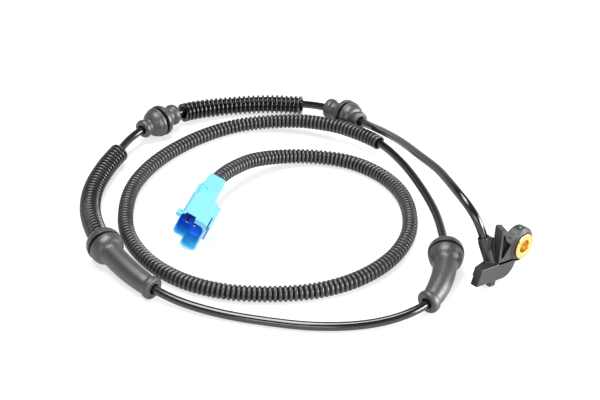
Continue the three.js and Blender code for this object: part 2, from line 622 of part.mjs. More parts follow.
class RingRoute extends THREE.Curve {
  getPointAt(share) {
    return route.getPointAt(ringDistance(share * CABLE_STEPS) / CABLE_LENGTH);
  }

  getTangentAt(share, target) {
    return route.getTangentAt(ringDistance(share * CABLE_STEPS) / CABLE_LENGTH, target);
  }
}

// The same as frameAt, on the cable's own faceted line
function facetAt(distance) {
  let i = 0;
  while (i < CABLE_STEPS - 1 && ringDistance(i + 1) <= distance) {
    i += 1;
  }
  const before = ringDistance(i);
  const after = ringDistance(i + 1);
  const from = frameAt(before);
  const to = frameAt(after);
  const share = (distance - before) / (after - before);
  from.point.lerp(to.point, share);
  from.normal.lerp(to.normal, share);
  from.binormal.lerp(to.binormal, share);
  return from;
}

// A turned piece bent along the cable from the distance where it starts. Its outside follows the
// smooth route and its bore follows the cable's facets, so that the cable keeps clear of it.
function sleeve(start, outer, bore, sides, flipped = false, sagAt = () => 0) {
  const length = outer[outer.length - 1][1];
  const place = (y) => start + (flipped ? length - y : y);
  const inner = [];
  for (let k = 0; k < bore.length - 1; k += 1) {
    const [r0, y0] = bore[k];
    const [r1, y1] = bore[k + 1];
    inner.push([r0, y0]);
    const rings = [];
    for (let ring = 0; ring <= CABLE_STEPS; ring += 1) {
      const y = flipped ? length - (ringDistance(ring) - start) : ringDistance(ring) - start;
      if (y < Math.max(y0, y1) - 0.6 && y > Math.min(y0, y1) + 0.6) {
        rings.push([r0 + ((r1 - r0) * (y - y0)) / (y1 - y0), y]);
      }
    }
    rings.sort((a, b) => (a[1] - b[1]) * Math.sign(y1 - y0));
    inner.push(...rings);
  }
  inner.push(bore[bore.length - 1]);
  const profile = [...outer, ...inner];
  const geometry = turned(profile, sides);
  const count = profile.length + 1;
  const position = geometry.attributes.position;
  for (let i = 0; i < position.count; i += 1) {
    const place0 = place(position.getY(i));
    const row = i % count;
    const isOuter = row < outer.length || row === profile.length;
    const at = isOuter ? frameAt(place0) : facetAt(place0);
    const sag = sagAt((place0 - start) / length);
    const point = at.point.addScaledVector(at.normal, position.getX(i));
    point.addScaledVector(at.binormal, (flipped ? 1 : -1) * position.getZ(i));
    position.setXYZ(i, point.x, point.y, point.z - sag);
  }
  geometry.computeVertexNormals();
  return geometry;
}

// From the small bead to the large one
function grommet(start, flipped) {
  const bead = GROMMET_END_BEAD / 2;
  const neck = GROMMET_NECK / 2;
  const disc = GROMMET_DISC / 2;
  const groove = GROMMET_GROOVE / 2;
  const collar = GROMMET_BEAD / 2;
  const bore = GROMMET_BORE / 2;
  const end = GROMMET_LENGTH;
  const outer = [
    [bead - 1.4, 0], [bead, 1.4], [bead, 3.2], [neck - 0.6, 5], [neck - 0.6, 7],
    [neck + 1.4, 8.6], [disc - 2.4, 10.4], [disc - 0.7, 12.6], [disc, 15.6],
    [groove, 15.8], [groove, 17.8], [disc, 18], [disc, 20.4], [disc - 1.6, 21.6],
    [neck + 0.1, 23.4], [neck + 0.1, 27], [collar, 28.4], [collar, end - 1.6], [collar - 1.4, end],
  ];
  return sleeve(start, outer, [[bore, end], [bore, 0]], SLEEVE_SIDES, flipped);
}

// From the flange to the tail
function boot(start, flipped) {
  const flange = BOOT_FLANGE / 2;
  const groove = BOOT_GROOVE / 2;
  const sleeveRoot = BOOT_SLEEVE / 2;
  const tail = BOOT_TAIL / 2;
  const bead = BOOT_BEAD / 2;
  const bore = BOOT_BORE / 2;
  const mouth = BOOT_MOUTH / 2;
  const end = BOOT_LENGTH;
  const outer = [
    [flange - 2.6, 0], [flange - 0.6, 1.6], [flange, 3.4], [flange, 4.6], [groove, 4.8], [groove, 6.6],
    [flange, 6.8], [flange, 8.8], [flange - 2.2, 12.8], [sleeveRoot + 0.3, 15.8],
    [sleeveRoot - 0.2, 22], [(sleeveRoot + tail) / 2, 36], [tail, end - 8],
    [tail, end - 4.6], [bead, end - 3.6], [bead, end - 1], [bead - 0.9, end],
  ];
  const inner = [[bead - 2.2, end], [bore - 0.9, end - 5], [bore - 0.9, 12], [mouth, 5], [mouth, 0]];
  return sleeve(start, outer, inner, SLEEVE_SIDES, flipped);
}

// A conduit with one crest and one groove in each pitch
function conduitSleeve(start, length, size, sagAt) {
  const crest = crestRadius(size);
  const pitches = Math.round(length / size.pitch);
  const pitch = length / pitches;
  const outer = [[crest, 0]];
  for (let i = 0; i < pitches; i += 1) {
    if (i > 0) {
      outer.push([crest, (i + CREST_PLACE) * pitch]);
    }
    if (i < pitches - 1) {
      outer.push([crest - size.depth, (i + GROOVE_PLACE) * pitch]);
    }
  }
  outer.push([crest, length]);
  return sleeve(start, outer, [[size.inner / 2, length], [size.inner / 2, 0]], size.sides, false, sagAt);
}

const lead = new THREE.Group();
lead.add(piece('cable', wire(new RingRoute(), CABLE_DIAMETER, CABLE_STEPS, CABLE_SIDES), jacket));
lead.add(piece('grommet_b', grommet(GROMMET_B_AT, false), rubber));
lead.add(piece('grommet_a', grommet(GROMMET_A_AT, true), rubber));
lead.add(piece('boot_1', boot(BOOT_1_AT, false), rubber));
lead.add(piece('boot_2', boot(BOOT_2_AT, true), rubber));

const hang = (WIDE_CONDUIT.inner - CABLE_DIAMETER) / 2 - GAP;
const conduit1Length = BOOT_1_AT + CONDUIT_ENTRY - CONDUIT_1_AT;
const conduit3Length = CABLE_LENGTH - CONDUIT_3_AT - (shellRear - plugJacketEnd) + SHELL_ENTRY - 1;
lead.add(piece('conduit_2', conduitSleeve(CONDUIT_2_AT, CONDUIT_2_LENGTH, WIDE_CONDUIT, () => hang), glossyConduit));
lead.add(piece('conduit_1', conduitSleeve(
  CONDUIT_1_AT, conduit1Length, WIDE_CONDUIT,
  (share) => hang * (1 - THREE.MathUtils.smoothstep(share, 0.55, 0.92)),
), glossyConduit));
lead.add(piece('conduit_3', conduitSleeve(CONDUIT_3_AT, conduit3Length, NARROW_CONDUIT), conduit));

const sensor = new THREE.Group();
sensor.add(head, lead, connector);

export default sensor;
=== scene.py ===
import math

import bmesh
import bpy
from mathutils import Matrix, Vector


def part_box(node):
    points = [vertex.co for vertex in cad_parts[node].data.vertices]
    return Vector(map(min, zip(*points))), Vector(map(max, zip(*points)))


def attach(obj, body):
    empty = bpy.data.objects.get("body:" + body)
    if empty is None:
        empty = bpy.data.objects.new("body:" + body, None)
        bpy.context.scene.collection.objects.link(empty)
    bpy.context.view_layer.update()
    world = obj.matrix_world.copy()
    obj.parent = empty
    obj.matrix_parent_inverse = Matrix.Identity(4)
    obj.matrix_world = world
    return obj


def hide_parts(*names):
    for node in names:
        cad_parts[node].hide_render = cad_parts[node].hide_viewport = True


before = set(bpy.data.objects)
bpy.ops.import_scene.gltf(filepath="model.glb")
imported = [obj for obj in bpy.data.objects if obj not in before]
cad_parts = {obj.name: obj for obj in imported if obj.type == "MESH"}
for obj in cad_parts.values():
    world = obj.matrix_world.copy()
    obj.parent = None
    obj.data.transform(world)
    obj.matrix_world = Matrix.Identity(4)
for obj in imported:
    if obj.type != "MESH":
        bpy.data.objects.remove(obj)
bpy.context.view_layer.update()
MM = 0.001

# Camera

camera_data = bpy.data.cameras.new("camera")
camera_data.lens = 86.4
camera_data.sensor_width = 36.0
camera_data.clip_start = 0.01
camera = bpy.data.objects.new("camera", camera_data)
camera.location = (-0.5898, -0.4381, 0.509)
camera.rotation_euler = (math.radians(58), 0.0, math.radians(-44))
bpy.context.collection.objects.link(camera)
bpy.context.scene.camera = camera


# The cable's route, in millimetres, as in part.mjs

HEAD_END = [(-7.301, 2.088, 21.357), (-8.074, 5.498, 30.939), (-8.302, 6.501, 33.757)]
ROUTE = [
    (-8.8, 11.8, 42.3), (-7.9, 20, 47.9), (-5.2, 28.5, 49.8), (0, 39.1, 49.6), (11, 59.1, 46.8),
    (24.5, 86.6, 40.5), (40.5, 118.1, 32), (55, 147.6, 22), (65.5, 172.1, 13.6), (68, 196.1, 11.1),
    (65.5, 214.1, 10.9), (59.5, 233.1, 8.6), (45, 251.1, 8.3), (28, 265.1, 8.3), (9, 276.1, 8.8), (-7.5, 281.6, 10),
    (-22, 282.6, 10.9), (-37, 281.6, 11), (-51, 280.6, 10.8), (-64, 277.6, 10), (-78, 271.1, 9.6),
    (-98.5, 260.6, 9.4), (-121.5, 244.1, 9.6), (-138.5, 225.6, 10.2), (-151.5, 204.1, 11.1),
    (-160.5, 181.6, 11.5), (-164.5, 158.6, 9.5), (-164.5, 133.1, 6.8), (-159.5, 110.1, 4.7),
    (-148.5, 85.1, 3.4), (-133, 59.6, 3.1), (-119, 40.6, 3.1), (-102.5, 24.6, 3.2), (-86.5, 13.6, 4),
    (-71, 6.6, 5.8), (-56.5, 5.1, 7.2), (-37.5, 11.6, 9.8), (-17.5, 25.6, 11.8), (-1.5, 42.1, 11.2),
    (16.5, 64.1, 10.6), (34, 93.1, 10.6), (47.5, 122.6, 11), (55, 150.1, 11.4), (54.5, 168.6, 11.5),
    (51.5, 185.1, 11.5), (46.5, 200.1, 10.6), (40, 214.1, 9.2), (24.5, 234.1, 6.4), (3, 247.1, 5.4),
    (-29.5, 251.6, 5.3), (-65.5, 246.6, 5.3), (-96, 233.1, 5.3), (-118.5, 213.6, 5.3), (-137, 188.1, 5.3),
    (-146.5, 156.6, 5.3), (-145.5, 127.1, 5.3), (-135.5, 101.1, 5.3), (-116, 77.6, 5.3), (-92, 60.1, 5.3),
    (-66, 52.1, 5.3), (-37, 53.1, 5.3), (-11, 63.1, 5.3), (8.5, 79.1, 5.3), (24, 100.6, 5.3), (31.5, 125.6, 5.3),
    (29, 153.1, 5.4), (15, 176.1, 5.8), (-3.5, 188.6, 8), (-26.5, 192.6, 12.5), (-43, 191, 14.6),
    (-54.5, 188.3, 15.8),
]
PLUG_END = [(-65.263, 184.433, 16.127), (-67.81, 182.848, 16.143), (-78.846, 175.978, 16.211)]

CABLE_DIAMETER = 5.4
GROMMET_B_AT = 215
CONDUIT_2_AT = 270
CONDUIT_2_LENGTH = 89.4
GROMMET_A_AT = 366
CONDUIT_1_AT = 430
BOOT_1_AT = 549
BOOT_2_AT = 779.5
CONDUIT_3_AT = 973
CONDUIT_3_PLUG_GAP = 5
CONDUIT_ENTRY = 4.2

# How finely the turned forms are cut: corners round each, rings along the cable, and the angle that stays sharp

CABLE_SIDES = 28
CABLE_RINGS = 640
WIDE_SIDES = 40
NARROW_SIDES = 30
RUBBER_SIDES = 56
LATHE_SIDES = 96
RIB_ANGLE = 60
RUBBER_ANGLE = 50
BUSH_ANGLE = 40
SOLID_ANGLE = 30
SOFTENED_ANGLE = 50


class Lead:
    """The smooth route, with points and cross directions by distance along it, in millimetres."""

    def __init__(self, corners, step=0.5):
        corners = [Vector(corner) for corner in corners]
        ends = [2 * corners[0] - corners[1]] + corners + [2 * corners[-1] - corners[-2]]
        fine = []
        for i in range(len(corners) - 1):
            p0, p1, p2, p3 = ends[i:i + 4]
            d0, d1, d2 = ((b - a).length ** 0.5 for a, b in ((p0, p1), (p1, p2), (p2, p3)))
            t1 = ((p1 - p0) / d0 - (p2 - p0) / (d0 + d1) + (p2 - p1) / d1) * d1
            t2 = ((p2 - p1) / d1 - (p3 - p1) / (d1 + d2) + (p3 - p2) / d2) * d1
            for k in range(80):
                t = k / 80
                fine.append(p1 + t1 * t + (3 * (p2 - p1) - 2 * t1 - t2) * t ** 2
                            + (2 * (p1 - p2) + t1 + t2) * t ** 3)
        fine.append(corners[-1])
        along = [0.0]
        for a, b in zip(fine, fine[1:]):
            along.append(along[-1] + (b - a).length)
        self.length = along[-1]
        count = int(self.length / step)
        self.step = self.length / count
        self.points = []
        k = 0
        for i in range(count + 1):
            distance = min(i * self.step, self.length)
            while k < len(fine) - 2 and along[k + 1] < distance:
                k += 1
            share = (distance - along[k]) / (along[k + 1] - along[k])
            self.points.append(fine[k].lerp(fine[k + 1], share))
        self.tangents = []
        for i in range(count + 1):
            before = self.points[max(i - 1, 0)]
            after = self.points[min(i + 1, count)]
            self.tangents.append((after - before).normalized())
        normal = self.tangents[0].orthogonal().normalized()
        self.normals = []
        for tangent in self.tangents:
            normal = (normal - tangent * normal.dot(tangent)).normalized()
            self.normals.append(normal)

    def at(self, distance):
        place = min(max(distance / self.step, 0.0), len(self.points) - 1.001)
        i = int(place)
        share = place - i
        point = self.points[i].lerp(self.points[i + 1], share)
        tangent = self.tangents[i].lerp(self.tangents[i + 1], share).normalized()
        normal = self.normals[i].lerp(self.normals[i + 1], share).normalized()
        return point, tangent, normal, tangent.cross(normal)


lead = Lead(HEAD_END + ROUTE + PLUG_END)


def smooth(mesh, sharp_angle):
    mesh.polygons.foreach_set("use_smooth", [True] * len(mesh.polygons))
    mesh.set_sharp_from_angle(angle=math.radians(sharp_angle))


def link(name, mesh, sharp_angle):
    mesh.name = name
    piece = bpy.data.objects.new(name, mesh)
    bpy.context.collection.objects.link(piece)
    smooth(mesh, sharp_angle)
    return piece


def outward_mesh(name, vertices, faces):
    """A mesh whose faces all look outwards."""
    mesh = bpy.data.meshes.new(name)
    mesh.from_pydata(vertices, [], faces)
    mesh.validate()
    editor = bmesh.new()
    editor.from_mesh(mesh)
    bmesh.ops.recalc_face_normals(editor, faces=editor.faces)
    editor.to_mesh(mesh)
    editor.free()
    return mesh


def sweep(name, profile, start, sides, sharp_angle, flipped=False, sag=None, closed=True):
    """A turned form bent along the lead: profile is radius and distance pairs in millimetres."""
    length = max(y for _, y in profile)
    vertices = []
    for radius, y in profile:
        distance = start + (length - y if flipped else y)
        point, _, normal, binormal = lead.at(distance)
        drop = sag((distance - start) / length) if sag else 0.0
        for k in range(sides):
            angle = 2 * math.pi * k / sides
            corner = point + radius * (math.cos(angle) * normal + math.sin(angle) * binormal)
            vertices.append((corner.x * MM, corner.y * MM, (corner.z - drop) * MM))
    faces = []
    rows = len(profile)
    for row in range(rows if closed else rows - 1):
        after = (row + 1) % rows
        for k in range(sides):
            turn = (k + 1) % sides
            face = [row * sides + k, row * sides + turn, after * sides + turn, after * sides + k]
            faces.append(face if flipped else face[::-1])
    if not closed:
        faces.append(list(range(sides)) if not flipped else list(range(sides))[::-1])
        last = [(rows - 1) * sides + k for k in range(sides)]
        faces.append(last[::-1] if not flipped else last)
    return link(name, outward_mesh(name, vertices, faces), sharp_angle)


def rounded(corners, segments=4):
    """Radius and distance pairs with rounded corners: each corner may carry a rounding as a third number."""
    out = []
    count = len(corners)
    for i, corner in enumerate(corners):
        here = Vector(corner[:2])
        turn = corner[2] if len(corner) > 2 else 0.0
        if turn <= 0:
            out.append(tuple(here))
            continue
        before = Vector(corners[(i - 1) % count][:2])
        after = Vector(corners[(i + 1) % count][:2])
        first = here + (before - here).normalized() * min(turn, (before - here).length * 0.49)
        last = here + (after - here).normalized() * min(turn, (after - here).length * 0.49)
        for k in range(segments + 1):
            t = k / segments
            point = first.lerp(here, t).lerp(here.lerp(last, t), t)
            out.append(tuple(point))
    return out


# Cable and the pieces on it

cable_profile = [(CABLE_DIAMETER / 2, i * lead.length / CABLE_RINGS) for i in range(CABLE_RINGS + 1)]
cable = sweep("cable_jacket", cable_profile, 0.0, CABLE_SIDES, RIB_ANGLE, closed=False)

# A pitch of a conduit: place along it, and fall from the crest as a share of the groove's depth
ROUND_RIB = (
    (0.02, 0.3), (0.09, 0.05), (0.29, 0.0), (0.49, 0.05), (0.56, 0.3), (0.64, 0.92), (0.79, 1.0), (0.94, 0.92),
)
SHARP_RIB = (
    (0.04, 0.3), (0.1, 0.04), (0.24, 0.0), (0.36, 0.04), (0.44, 0.3), (0.54, 0.92), (0.74, 1.0), (0.95, 0.92),
)


def conduit_profile(length, outer, inner, pitch, depth, section=ROUND_RIB):
    """Radius and distance pairs of a ribbed tube, out along its ribs and back along its bore."""
    count = round(length / pitch)
    pitch = length / count
    out = []
    for i in range(count):
        for share, fall in section:
            out.append((outer / 2 - depth * fall, (i + share) * pitch))
    out.append((outer / 2, length))
    rings = max(4, int(length / 4))
    inside = [(inner / 2, length - k * length / rings) for k in range(rings + 1)]
    return out + inside


WIDE = {"outer": 13.6, "inner": 8.6, "pitch": 3.5, "depth": 1.5, "section": SHARP_RIB}
NARROW = {"outer": 10.1, "inner": 7, "pitch": 3.06, "depth": 1.1}
hang = (WIDE["inner"] - CABLE_DIAMETER) / 2 - 0.3


def mark(piece, values):
    """Writes how deep in shade each corner lies, from 0 to 1, where the looks can read it."""
    layer = piece.data.attributes.new("low", "FLOAT", "POINT")
    layer.data.foreach_set("value", values)


def mark_painted_shade(piece, outer, depth, sides, profile):
    """Marks the corners that lie down in a groove, and those inside, as the places that get painted shade."""
    values = []
    for radius, _ in profile:
        values += [min(max((outer / 2 - radius) / depth, 0.0), 1.0)] * sides
    mark(piece, values)


def ease(share, low, high):
    """0 up to low, 1 from high on, and a soft step between them."""
    t = min(max((share - low) / (high - low), 0.0), 1.0)
    return t * t * (3 - 2 * t)


conduit_1_length = BOOT_1_AT + CONDUIT_ENTRY - CONDUIT_1_AT
conduit_3_length = lead.length - CONDUIT_3_AT - CONDUIT_3_PLUG_GAP


def conduit(name, size, start, length, sides, sag=None):
    profile = conduit_profile(length, **size)
    piece = sweep(name, profile, start, sides, RIB_ANGLE, sag=sag)
    # The grooves and the bore are marked for painted shade.
    mark_painted_shade(piece, size["outer"], size["depth"], sides, profile)
    return piece


conduit_1 = conduit("conduit_wide_1", WIDE, CONDUIT_1_AT, conduit_1_length, WIDE_SIDES,
                    lambda share: hang * (1 - ease(share, 0.55, 0.92)))
conduit_2 = conduit("conduit_wide_2", WIDE, CONDUIT_2_AT, CONDUIT_2_LENGTH, WIDE_SIDES, lambda share: hang)
conduit_3 = conduit("conduit_narrow", NARROW, CONDUIT_3_AT, conduit_3_length, NARROW_SIDES)


def rubber(name, profile, inside, start, flipped, groove, radius):
    """A moulded rubber piece; the floor of its groove, below a radius, and its bore get painted shade."""
    piece = sweep(name, profile + inside, start, RUBBER_SIDES, RUBBER_ANGLE, flipped)
    values = []
    for r, y in profile:
        values += [1.0 if groove[0] < y < groove[1] and r < radius else 0.0] * RUBBER_SIDES
    mark(piece, values + [1.0] * (RUBBER_SIDES * len(inside)))
    return piece


def grommet(name, start, flipped, groove):
    """A disc with a panel groove at a distance from one end, and a bead at either end."""
    end = 33
    profile = rounded([
        (3.6, 0), (5.9, 0, 0.8), (6.6, 1.4, 0.8), (6.6, 3.4, 0.8), (5.5, 4.8, 0.8),
        (5.5, max(5.4, groove - 8.6), 0.6),
        (7.4, groove - 7.2, 1.2), (9.3, groove - 5, 1.2), (9.8, groove - 2.4, 0.5), (10.5, groove - 1.9, 0.3),
        (10.7, groove - 0.1, 0.3), (8.2, groove, 0.2), (8.2, groove + 2, 0.2), (11, groove + 2.1, 0.4),
        (11, groove + 4.6, 0.8), (10, groove + 6.2, 0.8), (7.4, groove + 7.4, 0.8), (6.1, groove + 9, 0.8),
        (6.2, 27, 0.8), (7.5, 28.6, 0.8), (7.5, 31.4, 0.8), (6.4, end, 0.6), (3.6, end),
    ])
    inside = [(3.6, end - k * end / 10) for k in range(1, 10)]
    return rubber(name, profile, inside, start, flipped, (groove - 0.05, groove + 2.05), 9)


def boot(name, start, flipped, end):
    """A grooved head with an open mouth, and a sleeve with a bead at its tail."""
    flange = 11.3
    groove = 5.7
    profile = rounded([
        (7.4, 0, 0.3), (9.4, 0, 0.8), (10.8, 1.2, 0.8), (flange, 3, 0.8), (flange, groove - 0.1, 0.3),
        (9.1, groove, 0.2), (9.1, groove + 1.8, 0.2), (11, groove + 1.9, 0.3), (10.6, groove + 4.8, 1.2),
        (9.6, groove + 7.2, 1.2), (8.4, groove + 8.6, 1), (7.5, groove + 10.2, 0.6), (7.3, 18.5, 1), (7.2, 25, 2),
        (7, 36, 4), (6.5, end - 8, 2), (6.1, end - 5, 0.6), (7.3, end - 4, 0.8), (7.4, end - 1.2, 0.8),
        (6.6, end, 0.6),
        (3.6, end, 0.3), (3.2, end - 2, 0.3),
    ], 5)
    inside = [(3.2, end - 2 - k * (end - 18) / 10) for k in range(1, 11)] + [(3.2, 12), (7.4, 5)]
    return rubber(name, profile, inside, start, flipped, (groove - 0.05, groove + 1.85), 10)


grommet_b = grommet("rubber_grommet_b", GROMMET_B_AT, False, 13.4)
grommet_a = grommet("rubber_grommet_a", GROMMET_A_AT, True, 15.3)
boot_1 = boot("rubber_boot_1", BOOT_1_AT, False, 58)
boot_2 = boot("rubber_boot_2", BOOT_2_AT, True, 54)


# Head and connector, from the solids with their edges softened

HEAD_ROLL = math.radians(12)
HEAD_PLACE = Vector((-26.408, -6.684, 8.768))


def on_head(x, y, z):
    """A point of the head's own measures, in the row frame, in millimetres."""
    turn = Matrix.Rotation(HEAD_ROLL, 3, "Y")
    return HEAD_PLACE + turn @ Vector((x, y, z))


def prism(name, outline, front, depth, place):
    """A closed block with an outline in X and Z, set in place by a function."""
    count = len(outline)
    vertices = [place(x, y, z) * MM for y in (front, front + depth) for x, z in outline]
    faces = [list(range(count)), list(range(2 * count - 1, count - 1, -1))]
    for k in range(count):
        turn = (k + 1) % count
        faces.append([k, k + count, turn + count, turn])
    piece = bpy.data.objects.new(name, outward_mesh(name, [tuple(v) for v in vertices], faces))
    bpy.context.collection.objects.link(piece)
    return piece


# Where the connector lies: its mouth is at Y = 0 in its own measures

PLUG_PLACE = Vector((-117.4, 155.9, 8.54))
PLUG_TURN = (math.radians(-0.3), math.radians(25.4), math.radians(-58.1))


def plug_matrix():
    """How the connector is turned from its own measures into the row frame."""
    pitch, roll, yaw = PLUG_TURN
    return Matrix.Rotation(yaw, 3, "Z") @ Matrix.Rotation(pitch, 3, "X") @ Matrix.Rotation(roll, 3, "Y")


to_plug = plug_matrix().transposed()


def on_plug(x, y, z):
    """A point of the connector's own measures, in the row frame, in millimetres."""
    return PLUG_PLACE + plug_matrix() @ Vector((x, y, z))


def from_above(x, y, z):
    """The same for a block whose outline is in X and Y and that stands along Z."""
    return on_plug(x, z, y)


def softened(node, name, voxel, passes, keep, cuts=(), adds=()):
    """A copy of a solid, cut and added to by blocks, with its edges rounded on a grid of a size in millimetres."""
    piece = link(name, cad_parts[node].data.copy(), SOLID_ANGLE)
    for kind, tools in (("DIFFERENCE", cuts), ("UNION", adds)):
        for tool in tools:
            modifier = piece.modifiers.new("shape", "BOOLEAN")
            modifier.operation = kind
            modifier.object = tool
            modifier.solver = "EXACT"
    for kind, settings in (
        ("REMESH", {"mode": "VOXEL", "voxel_size": voxel * MM, "use_smooth_shade": True}),
        ("SMOOTH", {"factor": 0.5, "iterations": passes}),
        ("DECIMATE", {"ratio": keep}),
    ):
        modifier = piece.modifiers.new(kind.lower(), kind)
        for key, value in settings.items():
            setattr(modifier, key, value)
    graph = bpy.context.evaluated_depsgraph_get()
    made = bpy.data.meshes.new_from_object(piece.evaluated_get(graph))
    piece.modifiers.clear()
    for tool in (*cuts, *adds):
        bpy.data.objects.remove(tool)
    piece.data = made
    made.name = name
    smooth(made, SOFTENED_ANGLE)
    return piece


notch = prism("notch", [
    (20.4, 38), (20.9, 30.2), (22.6, 27.4), (27.2, 25.8), (28.9, 26.6), (31.2, 29), (31.2, 38),
], -1, 8, on_head)
head = softened("head_body", "sensor_head", 0.24, 3, 0.35, (notch,))
wider_mouth = prism("wider_mouth", [
    (-8.5, 3), (-8.5, 15.2), (-7.8, 16.8), (-6.2, 17.4), (0.4, 17.4), (0.8, 14.2), (5.4, 14.1), (7.2, 13.2),
    (7.8, 11.6), (7.8, -2.9), (7.2, -4.6), (5.6, -5.3), (1, -5.3), (-0.4, -4.6), (-0.9, -3.6), (-0.9, 0.5),
    (-6.3, 0.5), (-7.9, 1.2),
], -1, 15.8, on_plug)
set_back = prism("set_back", [(-6.6, 16.9), (0.4, 16.9), (0.2, 19), (-5.8, 19)], -1, 2.8, on_plug)
step_line = prism("step_line", [(-9.6, 32.8), (-2, 32.8), (-2, 34.6), (-9.6, 34.6)], 17.2, 2, from_above)
left_rear = prism("left_rear", [(-9.1, 24), (-7, 24), (-7, 35.9), (-9.1, 35.9)], 1.2, 15.6, from_above)
plug = softened("connector_body", "plug_body", 0.22, 4, 0.3, (wider_mouth, set_back, step_line), (left_rear,))
left_shell = prism("left_shell", [
    (-9.1, 36.1), (-9.1, 40), (-6.9, 47.5), (-6.9, 53), (-5.5, 55.4), (-5.2, 36.1),
], 4.4, 8.4, from_above)
shell = softened("connector_backshell", "plug_backshell", 0.24, 4, 0.35, (), (left_shell,))


def lathe(name, profile, axis):
    """A turned piece on an axis along Y through a point, from radius and Y pairs in millimetres."""
    sides = LATHE_SIDES
    vertices = []
    for radius, y in profile:
        for k in range(sides):
            angle = 2 * math.pi * k / sides
            x = axis[0] + radius * math.cos(angle)
            z = axis[1] + radius * math.sin(angle)
            vertices.append((x * MM, y * MM, z * MM))
    rows = len(profile)
    faces = []
    for row in range(rows):
        after = (row + 1) % rows
        for k in range(sides):
            turn = (k + 1) % sides
            faces.append([row * sides + k, row * sides + turn, after * sides + turn, after * sides + k])
    return link(name, outward_mesh(name, vertices, faces), BUSH_ANGLE)


bush_low, bush_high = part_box("bush")
BUSH_AXIS = ((bush_low.x + bush_high.x) / 2 / MM, (bush_low.z + bush_high.z) / 2 / MM)
face = bush_low.y / MM
back = bush_high.y / MM
bush = lathe("brass_bush", rounded([
    (4.2, face + 0.5, 0.2), (4.7, face, 0.2), (7.85, face, 0.2), (8.1, face + 0.25, 0.1), (8.1, face + 1.1, 0.1),
    (6.0, face + 1.1), (6.0, back, 0.2), (4.7, back, 0.2), (4.2, back - 0.5, 0.2),
], 3), BUSH_AXIS)

# Materials

GRAIN_DEPTH = 0.3
CLOUD_SCALE = 45.0
BLACK = (0.0, 0.0, 0.0)


def tree_of(made):
    nodes = made.node_tree.nodes
    return nodes, made.node_tree.links, nodes["Principled BSDF"]


def paint_over(made, share, color):
    """Where share is 1 the base colour gives way to another one, which is a colour or a node's output."""
    nodes, links, shader = tree_of(made)
    paint = nodes.new("ShaderNodeMix")
    paint.data_type = "RGBA"
    links.new(share, paint.inputs[0])
    links.new(shader.inputs["Base Color"].links[0].from_socket, paint.inputs[6])
    if isinstance(color, tuple):
        paint.inputs[7].default_value = (*color, 1)
    else:
        links.new(color, paint.inputs[7])
    links.new(paint.outputs[2], shader.inputs["Base Color"])
    return paint.outputs[2]


def own_measures(nodes, links, origin, rows):
    """A piece's own X, Y and Z in millimetres, from where its origin lies and the rows that turn it back."""
    place = nodes.new("ShaderNodeTexCoord")
    shift = nodes.new("ShaderNodeVectorMath")
    shift.operation = "SUBTRACT"
    shift.inputs[1].default_value = tuple(origin * MM)
    links.new(place.outputs["Object"], shift.inputs[0])
    own = []
    for row in rows:
        along = nodes.new("ShaderNodeVectorMath")
        along.operation = "DOT_PRODUCT"
        along.inputs[1].default_value = tuple(row / MM)
        links.new(shift.outputs[0], along.inputs[0])
        own.append(along.outputs["Value"])
    return own


def material(name, color, rough, metal=0.0, grain=0.0, grain_scale=900.0, rough_spread=0.12, tint=0.12, spec=0.5):
    """A surface whose colour and roughness drift softly over it, with a fine grain."""
    made = bpy.data.materials.new(name)
    made.use_nodes = True
    nodes, links, shader = tree_of(made)
    shader.inputs["Metallic"].default_value = metal
    shader.inputs["Specular IOR Level"].default_value = spec
    place = nodes.new("ShaderNodeTexCoord")
    cloud = nodes.new("ShaderNodeTexNoise")
    cloud.inputs["Scale"].default_value = CLOUD_SCALE
    cloud.inputs["Detail"].default_value = 4.0
    links.new(place.outputs["Object"], cloud.inputs["Vector"])
    spread = nodes.new("ShaderNodeMapRange")
    spread.inputs["To Min"].default_value = max(rough - rough_spread, 0.02)
    spread.inputs["To Max"].default_value = min(rough + rough_spread, 1.0)
    links.new(cloud.outputs["Fac"], spread.inputs["Value"])
    links.new(spread.outputs["Result"], shader.inputs["Roughness"])
    shade = nodes.new("ShaderNodeMix")
    shade.data_type = "RGBA"
    shade.inputs[6].default_value = (*(c * (1 - tint) for c in color), 1)
    shade.inputs[7].default_value = (*(min(c * (1 + tint), 1) for c in color), 1)
    links.new(cloud.outputs["Fac"], shade.inputs[0])
    links.new(shade.outputs[2], shader.inputs["Base Color"])
    if grain:
        fine = nodes.new("ShaderNodeTexNoise")
        fine.inputs["Scale"].default_value = grain_scale
        fine.inputs["Detail"].default_value = 3.0
        links.new(place.outputs["Object"], fine.inputs["Vector"])
        bump = nodes.new("ShaderNodeBump")
        bump.inputs["Strength"].default_value = grain
        bump.inputs["Distance"].default_value = GRAIN_DEPTH * MM
        links.new(fine.outputs["Fac"], bump.inputs["Height"])
        links.new(bump.outputs["Normal"], shader.inputs["Normal"])
    return made


def spot(made, centre, radius, color, soft=0.25):
    """Adds a round paint dot to a material, by its place in millimetres."""
    nodes, links, _ = tree_of(made)
    place = nodes.new("ShaderNodeTexCoord")
    away = nodes.new("ShaderNodeVectorMath")
    away.operation = "DISTANCE"
    away.inputs[1].default_value = tuple(c * MM for c in centre)
    links.new(place.outputs["Object"], away.inputs[0])
    fade = nodes.new("ShaderNodeMapRange")
    fade.inputs["From Min"].default_value = radius * (1 - soft) * MM
    fade.inputs["From Max"].default_value = radius * (1 + soft) * MM
    fade.inputs["To Min"].default_value = 1.0
    fade.inputs["To Max"].default_value = 0.0
    links.new(away.outputs["Value"], fade.inputs["Value"])
    paint_over(made, fade.outputs["Result"], color)


def math_node(nodes, links, operation, first, second):
    """The output of one sum on two values, each a number or another node's output."""
    node = nodes.new("ShaderNodeMath")
    node.operation = operation
    for socket, value in zip(node.inputs, (first, second)):
        if isinstance(value, (int, float)):
            socket.default_value = value
        else:
            links.new(value, socket)
    return node.outputs[0]


